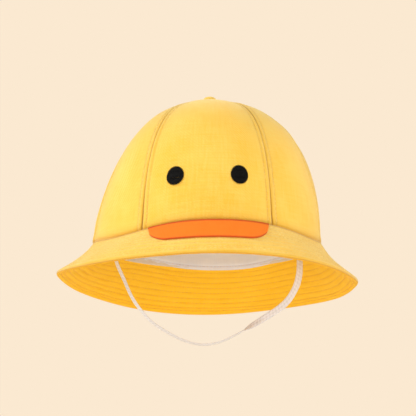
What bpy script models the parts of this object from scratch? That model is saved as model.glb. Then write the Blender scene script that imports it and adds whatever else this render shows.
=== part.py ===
"""Child's duck bucket hat: six-panel crown, stitched brim, bill flap, eyes and chin elastic.

Metres, +Z up. The origin is the middle of the head opening, in the plane of the seam between
crown and brim. The front, with the eyes and the bill, faces -Y. An azimuth is measured from the
front, positive towards +X.
"""

import math

import bmesh
import bpy
from mathutils import Vector

# Head opening and crown
OPENING_RADIUS_X = 0.0825
OPENING_RADIUS_Y = 0.0838
SHOULDER_HEIGHT = 0.0886
PEAK_RISE = 0.0227
CROWN_LEAN = 0.0018
# How square the crown's outline is, across and upwards, on each side of the hat
SQUARENESS = {"front": (4.4, 2.5), "right": (3.9, 2.35), "back": (3.9, 2.3), "left": (2.8, 1.65)}
PANEL_COUNT = 6
PANEL_THICKNESS = 0.0014
TOP_CLIMB_ANGLE = math.radians(88)

# Brim
RIM_RADIUS_X = 0.1082
RIM_RADIUS_Y = 0.1090
RIM_DROP = 0.0280
RIM_SADDLE = 0.0020
RIM_TILT_SIDE = 0.0020
RIM_TILT_FRONT = 0.0020
RIM_WAVE = 0.0014
BRIM_BOW = 0.0008
BRIM_PLY = 0.0008
BRIM_INTERLINING = 0.0005
INTERLINING_END = 0.90

# Inside of the crown
GAP = 0.0003
SEAM_GAP = 0.0004
TAPE_WIDTH = 0.012
TAPE_THICKNESS = 0.0006
ALLOWANCE_THICKNESS = 0.0012
ALLOWANCE_CLIMB = 0.105
SWEATBAND_THICKNESS = 0.0009
SWEATBAND_CLIMB = 0.195
SWEATBAND_LIP = 0.0006

# Bill
BILL_HALF_WIDTH = 0.0415
BILL_LENGTH = 0.0235
BILL_CORNER = 0.0095
BILL_BEND_LINE = 0.0054
BILL_SEWN_LENGTH = 0.0036
BILL_SEWN_THICKNESS = 0.0009
BILL_PLY = 0.0005
BILL_WADDING = 0.0009
BILL_HINGE_Y = -0.0765

# Eyes
EYE_AZIMUTH = math.radians(15)
EYE_HEIGHT = 0.0318
EYE_RADIUS = 0.0063
EYE_THICKNESS = 0.0009

# Top button
BUTTON_RADIUS = 0.0054
BUTTON_HEIGHT = 0.0042
BUTTON_CLOTH = 0.0006
SHANK_RADIUS = 0.0011
WASHER_RADIUS = 0.0060

# Chin elastic: its route, from the left end to the right end, in its own upright plane
ELASTIC_WIDTH = 0.0045
ELASTIC_PLANE_Y = -0.0420
ELASTIC_POINTS = 24
ELASTIC_ROUTE = (
    (-0.0632, -0.0010),
    (-0.0634, -0.0100),
    (-0.0620, -0.0195),
    (-0.0565, -0.0320),
    (-0.0512, -0.0435),
    (-0.0450, -0.0525),
    (-0.0370, -0.0610),
    (-0.0245, -0.0690),
    (-0.0130, -0.0742),
    (-0.0022, -0.0760),
    (0.0085, -0.0743),
    (0.0200, -0.0690),
    (0.0305, -0.0630),
    (0.0390, -0.0578),
    (0.0487, -0.0515),
    (0.0555, -0.0448),
    (0.0605, -0.0360),
    (0.0628, -0.0270),
    (0.0632, -0.0170),
    (0.0632, -0.0090),
    (0.0632, -0.0010),
)
TAB_WIDTH = 0.0070
TAB_CLIMB = (0.020, 0.095)
TAB_THICKNESS = 0.0010

DIRECTION_NAMES = ("front", "front_right", "back_right", "back", "back_left", "front_left")


def clear_scene():
    for thing in list(bpy.data.objects):
        bpy.data.objects.remove(thing)


def make_material(name, colour, roughness, metallic=0.0):
    material = bpy.data.materials.new(name)
    material.use_nodes = True
    shader = material.node_tree.nodes["Principled BSDF"]
    shader.inputs["Base Color"].default_value = (*colour, 1.0)
    shader.inputs["Roughness"].default_value = roughness
    shader.inputs["Metallic"].default_value = metallic
    material.diffuse_color = (*colour, 1.0)
    return material


def yellow_twill():
    return make_material("yellow_twill", (0.93, 0.58, 0.11), 0.9)


def yellow_lining_twill():
    return make_material("deep_yellow_twill", (0.94, 0.43, 0.04), 0.9)


def orange_twill():
    return make_material("orange_twill", (0.98, 0.22, 0.02), 0.85)


def white_cotton():
    return make_material("white_cotton", (0.75, 0.70, 0.66), 0.95)


def interlining_felt():
    return make_material("interlining", (0.80, 0.78, 0.74), 1.0)


def black_thread():
    return make_material("black_thread", (0.012, 0.011, 0.010), 0.55)


def white_elastic():
    return make_material("white_elastic", (0.78, 0.72, 0.66), 0.8)


def button_metal():
    return make_material("button_tin", (0.60, 0.60, 0.62), 0.35, 1.0)


def direction_mix(azimuth):
    """How much each of the four sides counts at this azimuth."""
    ahead = math.cos(azimuth)
    across = math.sin(azimuth)
    return {
        "front": ahead * ahead if ahead > 0 else 0.0,
        "back": ahead * ahead if ahead < 0 else 0.0,
        "right": across * across if across > 0 else 0.0,
        "left": across * across if across < 0 else 0.0,
    }


def crown_outline(azimuth, climb):
    """Radius (as a share of the opening's) and height of the crown where climb runs from seam to top."""
    angle = climb * TOP_CLIMB_ANGLE
    mix = direction_mix(azimuth)
    across_power = sum(share * SQUARENESS[side][0] for side, share in mix.items())
    up_power = sum(share * SQUARENESS[side][1] for side, share in mix.items())
    low, high = 0.5, 2.0
    for _ in range(40):
        middle = (low + high) / 2
        inside = (middle * math.cos(angle)) ** across_power
        inside += (middle * abs(math.sin(angle))) ** up_power
        if inside < 1:
            low = middle
        else:
            high = middle
    share = low * math.cos(angle)
    height = SHOULDER_HEIGHT * low * math.sin(angle) + PEAK_RISE * (1 - share)
    return share, height


def crown_outer(azimuth, climb):
    share, height = crown_outline(azimuth, climb)
    lean = CROWN_LEAN * (height / (SHOULDER_HEIGHT + PEAK_RISE)) ** 2
    x = OPENING_RADIUS_X * share * math.sin(azimuth) + lean
    y = -OPENING_RADIUS_Y * share * math.cos(azimuth)
    return Vector((x, y, height))


def surface_point(surface, azimuth, run, depth):
    """A point of a surface moved by depth against its outward normal."""
    step = 1e-4
    along = surface(azimuth, run + step) - surface(azimuth, run - step)
    around = surface(azimuth + step, run) - surface(azimuth - step, run)
    normal = around.cross(along).normalized()
    return surface(azimuth, run) - normal * depth


def crown_point(azimuth, climb, depth):
    return surface_point(crown_outer, azimuth, climb, depth)


def brim_outer(azimuth, reach):
    """The brim's upper face: reach runs from the seam, 0, to the rim, 1."""
    rim_z = -RIM_DROP - RIM_SADDLE * math.cos(2 * azimuth) - RIM_TILT_SIDE * math.sin(azimuth)
    rim_z += RIM_TILT_FRONT * math.cos(azimuth) + RIM_WAVE * math.sin(3 * azimuth)
    bow = BRIM_BOW * 4 * reach * (1 - reach)
    radius_x = OPENING_RADIUS_X + (RIM_RADIUS_X - OPENING_RADIUS_X) * reach + bow
    radius_y = OPENING_RADIUS_Y + (RIM_RADIUS_Y - OPENING_RADIUS_Y) * reach + bow
    return Vector((radius_x * math.sin(azimuth), -radius_y * math.cos(azimuth), rim_z * reach + bow))


def brim_point(azimuth, reach, depth):
    """A point under (or, with a negative depth, over) the brim's upper face."""
    step = 1e-4
    along = brim_outer(azimuth, reach - step) - brim_outer(azimuth, reach + step)
    around = brim_outer(azimuth + step, reach) - brim_outer(azimuth - step, reach)
    return brim_outer(azimuth, reach) - around.cross(along).normalized() * depth


def finish_mesh(bm, name, material, smooth_angle=50):
    bmesh.ops.recalc_face_normals(bm, faces=bm.faces)
    mesh = bpy.data.meshes.new(name)
    bm.to_mesh(mesh)
    bm.free()
    mesh.materials.append(material)
    mesh.shade_smooth()
    mesh.set_sharp_from_angle(angle=math.radians(smooth_angle))
    thing = bpy.data.objects.new(name, mesh)
    bpy.context.scene.collection.objects.link(thing)
    return thing


def make_sheet(name, columns, rows, place, material, ring=False):
    """A cloth sheet: place(across, along, face) gives its points, with face 0 outside and 1 inside."""
    bm = bmesh.new()
    bmesh.ops.create_grid(bm, x_segments=columns, y_segments=rows, size=0.5)
    across = bm.verts.layers.float.new("across")
    along = bm.verts.layers.float.new("along")
    for vert in bm.verts:
        vert[across] = vert.co.x + 0.5
        vert[along] = vert.co.y + 0.5
    if ring:
        first = {round(v[along], 4): v for v in bm.verts if v[across] < 1e-4}
        last = [v for v in bm.verts if v[across] > 1 - 1e-4]
        bmesh.ops.weld_verts(bm, targetmap={v: first[round(v[along], 4)] for v in last})
    outside = list(bm.verts)
    bmesh.ops.extrude_face_region(bm, geom=bm.faces[:])
    outside = set(outside)
    for vert in bm.verts:
        face = 0 if vert in outside else 1
        vert.co = place(vert[across], vert[along], face)
    return finish_mesh(bm, name, material)


def make_ring(name, columns, rows, surface, runs, depths, material):
    """A sheet that goes all the way round, between two runs of a surface and two depths in it."""

    def place(across, along, face):
        run = runs[0] + (runs[1] - runs[0]) * along
        return surface(2 * math.pi * across, run, depths[face])

    return make_sheet(name, columns, rows, place, material, ring=True)


def make_crown_panel(index, material):
    middle = index * 2 * math.pi / PANEL_COUNT
    half = math.pi / PANEL_COUNT
    seam_lift = 0.0003

    def place(across, along, face):
        azimuth = middle + (2 * across - 1) * half
        point = crown_point(azimuth, along, PANEL_THICKNESS * face)
        # The point steps away from the seam, so that neighbouring panels keep their gap.
        inward = (1 - 2 * across) * SEAM_GAP / 2
        point.x += inward * math.cos(azimuth)
        point.y += inward * math.sin(azimuth)
        point.z += seam_lift * (1 - along) ** 4
        return point

    return make_sheet("crown_panel_" + DIRECTION_NAMES[index], 8, 14, place, material)


def make_seam_tape(index, material):
    """A tape inside the crown, over one seam, from the seam allowance up to the button."""
    azimuth = (index + 0.5) * 2 * math.pi / PANEL_COUNT
    outer_depth = PANEL_THICKNESS + GAP
    lowest, highest = ALLOWANCE_CLIMB + 0.01, 0.88

    def place(across, along, face):
        climb = lowest + (highest - lowest) * along
        share, _ = crown_outline(azimuth, climb)
        half_turn = TAPE_WIDTH / 2 / (OPENING_RADIUS_X * share)
        here = azimuth + (2 * across - 1) * half_turn
        return crown_point(here, climb, outer_depth + TAPE_THICKNESS * face)

    names = ("front_right", "right", "back_right", "back_left", "left", "front_left")
    return make_sheet("seam_tape_" + names[index], 2, 10, place, material)


def make_crown(twill, tape):
    for index in range(PANEL_COUNT):
        make_crown_panel(index, twill)
        make_seam_tape(index, tape)


def make_headband(cotton, felt):
    """The seam allowance turned up inside, the sweatband over it and the stiffening behind the band."""
    allowance_top = PANEL_THICKNESS + GAP
    allowance = (allowance_top, allowance_top + ALLOWANCE_THICKNESS)
    make_ring("crown_seam_allowance", 48, 1, crown_point, (0.004, ALLOWANCE_CLIMB), allowance, felt)
    felt_depth = allowance_top + TAPE_THICKNESS + GAP
    felt_depths = (felt_depth, allowance[1])
    felt_runs = (ALLOWANCE_CLIMB + 0.006, SWEATBAND_CLIMB - 0.008)
    make_ring("sweatband_stiffening", 48, 1, crown_point, felt_runs, felt_depths, felt)
    band_depth = allowance[1] + GAP
    lip = -SWEATBAND_LIP / (SHOULDER_HEIGHT * TOP_CLIMB_ANGLE)
    band_depths = (band_depth, band_depth + SWEATBAND_THICKNESS)
    make_ring("sweatband", 48, 3, crown_point, (lip, SWEATBAND_CLIMB), band_depths, cotton)
    return band_depths[1]


def make_brim(upper_cloth, felt, under_cloth):
    felt_depth = BRIM_PLY + GAP
    under_depth = felt_depth + BRIM_INTERLINING + GAP
    felt_depths = (felt_depth, felt_depth + BRIM_INTERLINING)
    under_depths = (under_depth, under_depth + BRIM_PLY)
    make_ring("brim_upper", 48, 3, brim_point, (0, 1), (0, BRIM_PLY), upper_cloth)
    make_ring("brim_interlining", 48, 2, brim_point, (0, INTERLINING_END), felt_depths, felt)
    make_ring("brim_under", 48, 3, brim_point, (0, 1), under_depths, under_cloth)


def bill_edge(offset):
    """How far down the brim the bill reaches at this distance from its middle: its corners are round."""
    past = abs(offset) - (BILL_HALF_WIDTH - BILL_CORNER)
    if past <= 0:
        return BILL_LENGTH
    return BILL_LENGTH - BILL_CORNER + math.sqrt(max(BILL_CORNER**2 - past**2, 0))


def make_bill_sheet(name, inset, depths, runs, material):
    """A layer of the bill, laid on the brim. runs gives where it starts and ends: None is its edge."""
    slant = math.hypot(RIM_RADIUS_Y - OPENING_RADIUS_Y, RIM_DROP)
    shrink = (BILL_HALF_WIDTH - inset) / BILL_HALF_WIDTH

    def place(across, along, face):
        offset = BILL_HALF_WIDTH * math.sin(math.pi * (across - 0.5))
        edge = bill_edge(offset) - inset if runs[1] is None else runs[1]
        down = runs[0] + (edge - runs[0]) * along
        azimuth = offset * shrink / OPENING_RADIUS_Y
        return brim_point(azimuth, down / slant, depths[face])

    return make_sheet(name, 16, 3, place, material)


def make_bill(cloth, wadding):
    """The bill is sewn in at the seam. Below its bend line it is a flap, which lifts off the brim."""
    hinge = bpy.data.objects.new("bill_hinge", None)
    hinge.location = (0, BILL_HINGE_Y, 0)
    bpy.context.scene.collection.objects.link(hinge)
    lower = -GAP
    stuffing = lower - BILL_PLY - GAP
    upper = stuffing - BILL_WADDING - GAP
    top = upper - BILL_PLY
    flap = (BILL_BEND_LINE, None)
    sewn = (lower - BILL_SEWN_THICKNESS, lower)
    make_bill_sheet("bill_sewn_edge", 0.001, sewn, (0.0006, BILL_SEWN_LENGTH), cloth)
    layers = (
        make_bill_sheet("bill_under", 0, (lower - BILL_PLY, lower), flap, cloth),
        make_bill_sheet("bill_wadding", 0.0015, (stuffing - BILL_WADDING, stuffing), flap, wadding),
        make_bill_sheet("bill_upper", 0, (top, upper), flap, cloth),
    )
    for layer in layers:
        hang_on(layer, hinge)


def hang_on(thing, hinge):
    """Parents a mesh to the empty on its joint's axis and moves its origin there."""
    shift = Vector(hinge.location)
    for vert in thing.data.vertices:
        vert.co -= shift
    thing.parent = hinge


def climb_at_height(azimuth, height):
    low, high = 0.0, 0.9
    for _ in range(40):
        middle = (low + high) / 2
        if crown_outline(azimuth, middle)[1] < height:
            low = middle
        else:
            high = middle
    return low


def make_eye(name, azimuth, material):
    """A round patch of raised stitching, a little domed, on the front panel."""
    climb = climb_at_height(azimuth, EYE_HEIGHT)
    climb_per_metre = 1e-3 / (crown_outline(azimuth, climb + 1e-3)[1] - crown_outline(azimuth, climb)[1])
    bm = bmesh.new()
    bmesh.ops.create_circle(bm, cap_ends=True, segments=24, radius=EYE_RADIUS)
    bmesh.ops.inset_region(bm, faces=bm.faces[:], thickness=EYE_RADIUS * 0.35)
    outside = set(bm.verts)
    bmesh.ops.extrude_face_region(bm, geom=bm.faces[:])
    for vert in bm.verts:
        rise = EYE_THICKNESS * (1 - 0.5 * (vert.co.length / EYE_RADIUS) ** 2)
        depth = -GAP if vert in outside else -GAP - rise
        here = azimuth + vert.co.x / OPENING_RADIUS_Y
        vert.co = crown_point(here, climb + vert.co.y * climb_per_metre, depth)
    return finish_mesh(bm, name, material)


def make_turned(name, profile, material, steps=24):
    """A closed profile of (radius, height) spun about the button's axis."""
    bm = bmesh.new()
    verts = [bm.verts.new((CROWN_LEAN + radius, 0, height)) for radius, height in profile]
    edges = [bm.edges.new((verts[i], verts[(i + 1) % len(verts)])) for i in range(len(verts))]
    bmesh.ops.spin(
        bm,
        geom=verts + edges,
        cent=(CROWN_LEAN, 0, 0),
        axis=(0, 0, 1),
        angle=2 * math.pi,
        steps=steps,
        use_merge=True,
    )
    bmesh.ops.remove_doubles(bm, verts=bm.verts, dist=1e-6)
    return finish_mesh(bm, name, material)


def dome(radius, base, height, count=5):
    """The outline of a dome from its edge to just short of its middle."""
    turns = [math.pi / 2 * i / count for i in range(count + 1)]
    return [(radius * math.cos(turn), base + height * math.sin(turn)) for turn in turns]


def make_button(cloth, metal):
    """A covered button: cloth over a tin dome, whose shank goes through the crown into a washer."""
    peak = SHOULDER_HEIGHT + PEAK_RISE
    base = peak + GAP
    skin = dome(BUTTON_RADIUS, base, BUTTON_HEIGHT)
    inner_radius = BUTTON_RADIUS - BUTTON_CLOTH
    hollow = dome(inner_radius, base, BUTTON_HEIGHT - BUTTON_CLOTH)
    make_turned("button_cover", skin[:-1] + [(0, skin[-1][1]), (0, hollow[-1][1])] + hollow[-2::-1], cloth)
    core_radius = inner_radius - GAP
    core = dome(core_radius, base, BUTTON_HEIGHT - BUTTON_CLOTH - GAP)
    washer_top = peak - PANEL_THICKNESS - 0.0022
    shank_end = washer_top - 0.0008
    shank = [(0, shank_end), (SHANK_RADIUS, shank_end), (SHANK_RADIUS, base)]
    make_turned("button_shell_and_shank", core[:-1] + [(0, core[-1][1])] + shank, metal)
    hole = SHANK_RADIUS + GAP
    ring = [(hole, washer_top), (hole, shank_end), (WASHER_RADIUS, shank_end), (WASHER_RADIUS, washer_top)]
    make_turned("button_washer", ring, metal)


def smooth_route(count):
    """Evenly spaced points of a smooth curve through the elastic's route."""
    knots = [Vector((x, ELASTIC_PLANE_Y, z)) for x, z in ELASTIC_ROUTE]
    ends = [knots[0] * 2 - knots[1]] + knots + [knots[-1] * 2 - knots[-2]]
    fine = []
    for a, b, c, d in zip(ends, ends[1:], ends[2:], ends[3:]):
        for i in range(12):
            t = i / 12
            bend = (b * 3 - a - c * 3 + d) * t**3 + (a * 2 - b * 5 + c * 4 - d) * t**2
            fine.append((bend + (c - a) * t + b * 2) / 2)
    fine.append(knots[-1])
    lengths = [0.0]
    for here, there in zip(fine, fine[1:]):
        lengths.append(lengths[-1] + (there - here).length)
    points = []
    for i in range(count):
        want = lengths[-1] * i / (count - 1)
        k = max(j for j in range(len(fine) - 1) if lengths[j] <= want + 1e-12)
        rest = (want - lengths[k]) / (lengths[k + 1] - lengths[k])
        points.append(fine[k].lerp(fine[k + 1], min(rest, 1.0)))
    return points


def make_elastic(material):
    """The chin elastic hangs from its two sewn ends, which it swings about."""
    hinge = bpy.data.objects.new("elastic_hinge", None)
    hinge.location = (0, ELASTIC_PLANE_Y, 0)
    bpy.context.scene.collection.objects.link(hinge)
    curve = bpy.data.curves.new("chin_elastic", "CURVE")
    curve.dimensions = "3D"
    curve.bevel_depth = ELASTIC_WIDTH / 2
    curve.bevel_resolution = 2
    curve.use_fill_caps = True
    points = smooth_route(ELASTIC_POINTS)
    spline = curve.splines.new("POLY")
    spline.points.add(len(points) - 1)
    for slot, point in zip(spline.points, points):
        slot.co = (*(point - Vector(hinge.location)), 1)
    curve.materials.append(material)
    elastic = bpy.data.objects.new("chin_elastic", curve)
    bpy.context.scene.collection.objects.link(elastic)
    elastic.parent = hinge


def make_elastic_tab(name, end_x, band_inner_depth, material):
    """The folded end of the elastic, tacked to the sweatband's inner face."""
    azimuth = math.atan2(end_x, -ELASTIC_PLANE_Y)
    outer_depth = band_inner_depth + GAP
    half_turn = TAB_WIDTH / 2 / OPENING_RADIUS_X

    def place(across, along, face):
        here = azimuth + (2 * across - 1) * half_turn
        climb = TAB_CLIMB[0] + (TAB_CLIMB[1] - TAB_CLIMB[0]) * along
        return crown_point(here, climb, outer_depth + TAB_THICKNESS * face)

    return make_sheet(name, 2, 2, place, material)


def build():
    clear_scene()
    yellow = yellow_twill()
    deep_yellow = yellow_lining_twill()
    orange = orange_twill()
    cotton = white_cotton()
    felt = interlining_felt()
    elastic = white_elastic()
    metal = button_metal()
    thread = black_thread()
    make_crown(yellow, cotton)
    band_inner_depth = make_headband(cotton, felt)
    make_brim(yellow, felt, deep_yellow)
    make_bill(orange, felt)
    make_eye("eye_left", -EYE_AZIMUTH, thread)
    make_eye("eye_right", EYE_AZIMUTH, thread)
    make_button(yellow, metal)
    make_elastic(elastic)
    make_elastic_tab("elastic_tab_left", ELASTIC_ROUTE[0][0], band_inner_depth, elastic)
    make_elastic_tab("elastic_tab_right", ELASTIC_ROUTE[-1][0], band_inner_depth, elastic)


build()
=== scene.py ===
# Child's duck bucket hat: cloth, stitching and finishes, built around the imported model.
# Metres, +Z up, front towards -Y. An azimuth starts at the front and grows towards +X.
import functools
from math import atan2, copysign, cos, degrees, exp, hypot, pi, radians, sin, sqrt
import bmesh
import bpy
from mathutils import Matrix, Vector, noise
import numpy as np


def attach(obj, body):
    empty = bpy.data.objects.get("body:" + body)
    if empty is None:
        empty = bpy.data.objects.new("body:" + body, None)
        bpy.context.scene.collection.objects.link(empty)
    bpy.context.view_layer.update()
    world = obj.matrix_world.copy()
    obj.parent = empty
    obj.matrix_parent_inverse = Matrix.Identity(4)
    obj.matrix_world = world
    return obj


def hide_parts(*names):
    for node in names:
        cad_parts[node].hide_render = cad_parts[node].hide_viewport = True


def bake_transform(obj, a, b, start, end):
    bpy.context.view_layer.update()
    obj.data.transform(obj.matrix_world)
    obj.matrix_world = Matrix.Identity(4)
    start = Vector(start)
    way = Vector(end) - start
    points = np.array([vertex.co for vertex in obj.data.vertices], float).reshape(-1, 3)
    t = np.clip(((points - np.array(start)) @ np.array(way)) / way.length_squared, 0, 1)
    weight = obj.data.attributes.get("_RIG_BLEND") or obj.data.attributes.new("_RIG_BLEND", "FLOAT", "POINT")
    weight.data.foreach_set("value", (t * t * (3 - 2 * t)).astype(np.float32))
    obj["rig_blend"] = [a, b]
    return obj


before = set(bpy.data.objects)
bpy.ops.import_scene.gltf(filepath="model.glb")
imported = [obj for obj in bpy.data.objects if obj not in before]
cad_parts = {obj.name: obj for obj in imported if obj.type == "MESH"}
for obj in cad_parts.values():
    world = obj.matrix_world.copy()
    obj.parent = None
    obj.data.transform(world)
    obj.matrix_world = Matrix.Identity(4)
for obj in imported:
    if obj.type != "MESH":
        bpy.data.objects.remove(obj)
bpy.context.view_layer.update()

mm = 0.001
scene = bpy.context.scene


def hexColour(text):
    parts = [int(text[i : i + 2], 16) / 255 for i in (1, 3, 5)]
    linear = [p / 12.92 if p <= 0.04045 else ((p + 0.055) / 1.055) ** 2.4 for p in parts]
    return (*linear, 1.0)


def bell(distance, width):
    return exp(-((distance / width) ** 2))


def smoothStep(value, low, high):
    t = min(max((value - low) / (high - low), 0.0), 1.0)
    return t * t * (3 - 2 * t)


def ripple(x, y, z=0.0):
    return noise.noise(Vector((x, y, z)))


def degreesApart(azimuth, other):
    return (degrees(azimuth) - other + 180) % 360 - 180


cameraSettings = {"target": (0.0005, 0.0, 0.0294), "distance": 0.75, "elevation": -14.5, "lens": 88.3}
stageSettings = {
    "floorHeight": -0.32,
    "floorSize": 24.0,
    "floorColour": "#f4e6d3",
    "floorGlow": 0.1,
    "backdrop": "#fbe9d1",
    "ambientColour": "#f6f2ea",
    "ambient": 0.52,
}
lightSettings = {
    # place, size in metres, watts, colour
    "key": ((-1.55, -0.32, 0.8), 0.9, 19.5, "#fffdfa"),
    "front": ((0.1, -1.5, 0.5), 1.2, 1.0, "#fffaf4"),
    "fill": ((1.45, -0.5, 0.4), 1.2, 9.5, "#fffcf6"),
    "under": ((0.0, -0.95, -0.15), 0.32, 2.1, "#faf9ff"),
    "rear": ((0.2, 1.4, 0.9), 1.2, 6.0, "#fff8ee"),
}


def makeCamera():
    rise = radians(cameraSettings["elevation"])
    back = Vector((0, -cos(rise), sin(rise)))
    camera = bpy.data.objects.new("camera", bpy.data.cameras.new("camera"))
    camera.data.lens = cameraSettings["lens"]
    camera.data.sensor_width = 36
    camera.location = Vector(cameraSettings["target"]) + back * cameraSettings["distance"]
    camera.rotation_euler = back.to_track_quat("Z", "Y").to_euler()
    scene.collection.objects.link(camera)
    scene.camera = camera


def makeLights():
    middle = Vector((0, 0, 0.03))
    for name, (place, size, watts, colour) in lightSettings.items():
        lamp = bpy.data.lights.new(name, "AREA")
        lamp.shape = "DISK"
        lamp.size = size
        lamp.energy = watts
        lamp.color = hexColour(colour)[:3]
        light = bpy.data.objects.new(name, lamp)
        light.location = place
        light.rotation_euler = (Vector(place) - middle).to_track_quat("Z", "Y").to_euler()
        scene.collection.objects.link(light)


makeCamera()
scene.view_settings.view_transform = "Standard"
print("camera made")


def addNode(material, kind, inputs=(), **settings):
    tree = material.node_tree
    node = tree.nodes.new("ShaderNode" + kind)
    for name, value in settings.items():
        setattr(node, name, value)
    for name, value in dict(inputs).items():
        if isinstance(value, bpy.types.NodeSocket):
            tree.links.new(value, node.inputs[name])
        else:
            node.inputs[name].default_value = value
    return node


def startMaterial(name, roughness, sheen=0.0, metallic=0.0, sheenColour="#ffffff"):
    material = bpy.data.materials.new(name)
    material.use_nodes = True
    shader = material.node_tree.nodes["Principled BSDF"]
    fuzz = {"Sheen Weight": sheen, "Sheen Roughness": 0.5, "Sheen Tint": hexColour(sheenColour)}
    for socket, value in {"Roughness": roughness, "Metallic": metallic, **fuzz}.items():
        shader.inputs[socket].default_value = value
    return material, shader


def joinSocket(material, output, socket):
    material.node_tree.links.new(output, socket)


def mixDyeOrPaintedShadeAndEmboss(material, shader, share, colours, height, strength, depth):
    # share mixes the two colours, and height raises the surface by up to depth; for woven cloth the share is
    # painted shade, for the other finishes it is their own uneven tone and pattern
    dark, light = colours
    colour = addNode(material, "Mix", {0: share, 6: dark, 7: light}, data_type="RGBA")
    joinSocket(material, colour.outputs[2], shader.inputs["Base Color"])
    bump = addNode(material, "Bump", {"Strength": strength, "Distance": depth, "Height": height})
    joinSocket(material, bump.outputs[0], shader.inputs["Normal"])
    return material


def stretchedNoise(material, coords, sizes, detail=2.0):
    # sizes are the pattern's size across and along, in metres
    scale = (1 / sizes[0], 1 / sizes[1], 1.0)
    mapped = addNode(material, "Mapping", {"Vector": coords, "Scale": scale}).outputs[0]
    return addNode(material, "TexNoise", {"Vector": mapped, "Scale": 1.0, "Detail": detail}).outputs[0]


def waveScale(pitch):
    # a Wave texture of scale 1 has its bands 2 pi / 20 apart
    return 2 * pi / 20 / pitch


def wovenCloth(
    name, colours, pitch, roughness=0.9, sheen=0.2, streaks=0.5, grain=0.4, sheenColour="#ffffff"
):
    # woven cotton: matt, with uneven crossing threads, cloudy dye and a pale fuzz at grazing angles
    # colours: body, painted shade (mixed in by the painted-shade attribute in seams, grooves, edges and
    # folds), pale (mixed in where the thread pattern stands high and in cloudy patches)
    material, shader = startMaterial(name, roughness, sheen, sheenColour=sheenColour)
    coords = addNode(material, "UVMap", uv_map="cloth").outputs[0]
    body, paintedShadeColour, pale = map(hexColour, colours)
    threadRun = pitch * 14
    warp = stretchedNoise(material, coords, (pitch, threadRun))
    weft = stretchedNoise(material, coords, (threadRun, pitch))
    threads = addNode(material, "Math", {0: warp, 1: weft}, operation="ADD").outputs[0]
    mottle = stretchedNoise(material, coords, (22 * mm, 30 * mm), 3.0)
    raised = {"From Min": 0.7, "From Max": 1.3, "To Max": streaks}
    cloudy = {"From Min": 0.35, "From Max": 0.65, "To Max": grain}
    lift = addNode(material, "MapRange", {"Value": threads, **raised}).outputs[0]
    cloud = addNode(material, "MapRange", {"Value": mottle, **cloudy}).outputs[0]
    paler = addNode(material, "Math", {0: lift, 1: cloud}, operation="ADD", use_clamp=True).outputs[0]
    tint = addNode(material, "Mix", {0: paler, 6: body, 7: pale}, data_type="RGBA").outputs[2]
    smoothness = {"From Min": 0.6, "From Max": 1.4, "To Min": roughness, "To Max": roughness - 0.12}
    rough = addNode(material, "MapRange", {"Value": threads, **smoothness})
    joinSocket(material, rough.outputs[0], shader.inputs["Roughness"])
    ribbing = {"Scale": waveScale(pitch), "Distortion": 1.2, "Detail": 2.0, "Detail Scale": 2.0}
    rib = addNode(material, "TexWave", {"Vector": coords, **ribbing}, bands_direction="DIAGONAL")
    height = addNode(material, "Math", {0: rib.outputs["Fac"], 1: threads}, operation="ADD").outputs[0]
    # painted shade: the colour moves towards the shade colour wherever the mesh's painted-shade attribute is
    # high
    paintedShade = addNode(material, "Attribute", attribute_name="paintedShade").outputs["Fac"]
    return mixDyeOrPaintedShadeAndEmboss(material, shader, paintedShade, (tint, paintedShadeColour), height, 0.6, 0.18 * mm)


def twistedThread(name, colours, roughness=0.5, sheen=0.1, gloss=0.5):
    # spun sewing thread: two plies wound together, so it is slightly shiny and unevenly lit
    material, shader = startMaterial(name, roughness, sheen)
    shader.inputs["Specular IOR Level"].default_value = gloss
    coords = addNode(material, "TexCoord").outputs["Object"]
    patches = addNode(material, "TexNoise", {"Vector": coords, "Scale": 900.0, "Detail": 1.0}).outputs[0]
    share = addNode(material, "MapRange", {"Value": patches, "From Min": 0.35, "From Max": 0.65}).outputs[0]
    return mixDyeOrPaintedShadeAndEmboss(material, shader, share, map(hexColour, colours), patches, 0.4, 0.05 * mm)


def pressedFelt(name, colours):
    # non-woven felt: short fibres pressed flat in all directions, so it is matt and flecked
    material, shader = startMaterial(name, 0.95, 0.15)
    coords = addNode(material, "TexCoord").outputs["Object"]
    flecks = {"Scale": 1400.0, "Detail": 4.0, "Distortion": 2.0}
    fibres = addNode(material, "TexNoise", {"Vector": coords, **flecks}).outputs[0]
    return mixDyeOrPaintedShadeAndEmboss(material, shader, fibres, map(hexColour, colours), fibres, 0.5, 0.1 * mm)


def braidedElastic(name, colours):
    # flat braided elastic: yarns plaited over rubber, so fine ribs run down it and cross in a zigzag
    material, shader = startMaterial(name, 0.7, 0.25)
    coords = addNode(material, "UVMap", uv_map="cloth").outputs[0]
    # the real yarns are 0.3 mm apart; they are drawn 0.75 mm apart so that they show
    along = {"Vector": coords, "Scale": waveScale(0.75 * mm), "Distortion": 0.6}
    zigzag = {"Vector": coords, "Scale": waveScale(0.75 * mm) * 0.6, "Distortion": 1.0}
    ribs = addNode(material, "TexWave", along, bands_direction="X").outputs["Fac"]
    crossing = addNode(material, "TexWave", zigzag, bands_direction="DIAGONAL").outputs["Fac"]
    height = addNode(material, "Math", {0: ribs, 1: crossing}, operation="ADD").outputs[0]
    share = addNode(material, "MapRange", {"Value": height, "From Max": 1.7}).outputs[0]
    return mixDyeOrPaintedShadeAndEmboss(material, shader, share, map(hexColour, colours), height, 0.5, 0.12 * mm)


def tinnedSteel(name):
    # stamped and tinned steel: grey metal with faint scratches from the press
    material, shader = startMaterial(name, 0.35, 0.0, 1.0)
    coords = addNode(material, "TexCoord").outputs["Object"]
    scratches = addNode(material, "TexNoise", {"Vector": coords, "Scale": 700.0, "Detail": 3.0}).outputs[0]
    rough = addNode(material, "MapRange", {"Value": scratches, "To Min": 0.25, "To Max": 0.5})
    joinSocket(material, rough.outputs[0], shader.inputs["Roughness"])
    shader.inputs["Base Color"].default_value = hexColour("#b9b9bd")
    return material


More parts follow.
